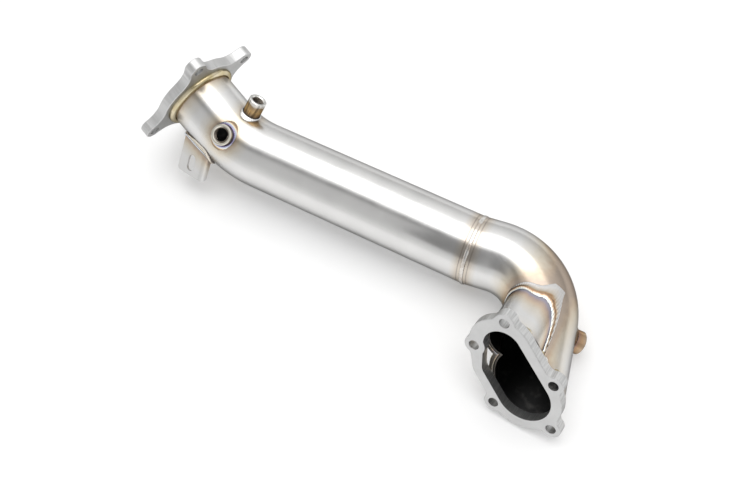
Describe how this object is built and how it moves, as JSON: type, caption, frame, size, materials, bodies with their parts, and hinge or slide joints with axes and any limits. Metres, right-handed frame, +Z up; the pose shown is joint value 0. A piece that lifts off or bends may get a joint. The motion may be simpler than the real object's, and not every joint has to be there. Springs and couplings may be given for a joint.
{
  "type": "turbo downpipe",
  "caption": "Stainless exhaust downpipe: straight tube with a tight elbow and oblique turbo flange at one end and a star-shaped outlet flange, sensor bosses and slotted bracket at the other.",
  "frame": {"origin": "centre of the bounding box's footprint, at the floor that the pipe lies on", "axes": "+X along the straight run from the outlet towards the turbo elbow, level; +Z up, as the pipe comes to rest"},
  "size_m": [0.564, 0.243, 0.1481],
  "materials": {
    "tube": "satin stainless steel with fine brushing along the tube",
    "flange": "satin cut stainless plate",
    "boss": "turned stainless steel with straw to bronze heat tint",
    "bracket": "satin stainless sheet",
    "weld": "rippled weld bead with straw, purple and blue heat tint"
  },
  "bodies": {
    "root": {"main_tube": "tube", "turbo_elbow": "tube", "branch_pipe": "tube", "outlet_flange": "flange", "turbo_flange": "flange", "front_boss": "boss", "upper_boss": "boss", "rear_boss": "boss", "bracket": "bracket", "outlet_flange_weld": "weld", "girth_weld": "weld", "branch_weld": "weld", "turbo_flange_weld": "weld", "turbo_inner_weld": "weld", "front_boss_weld": "weld", "upper_boss_weld": "weld", "rear_boss_weld": "weld", "bracket_weld": "weld"}
  },
  "joints": []
}
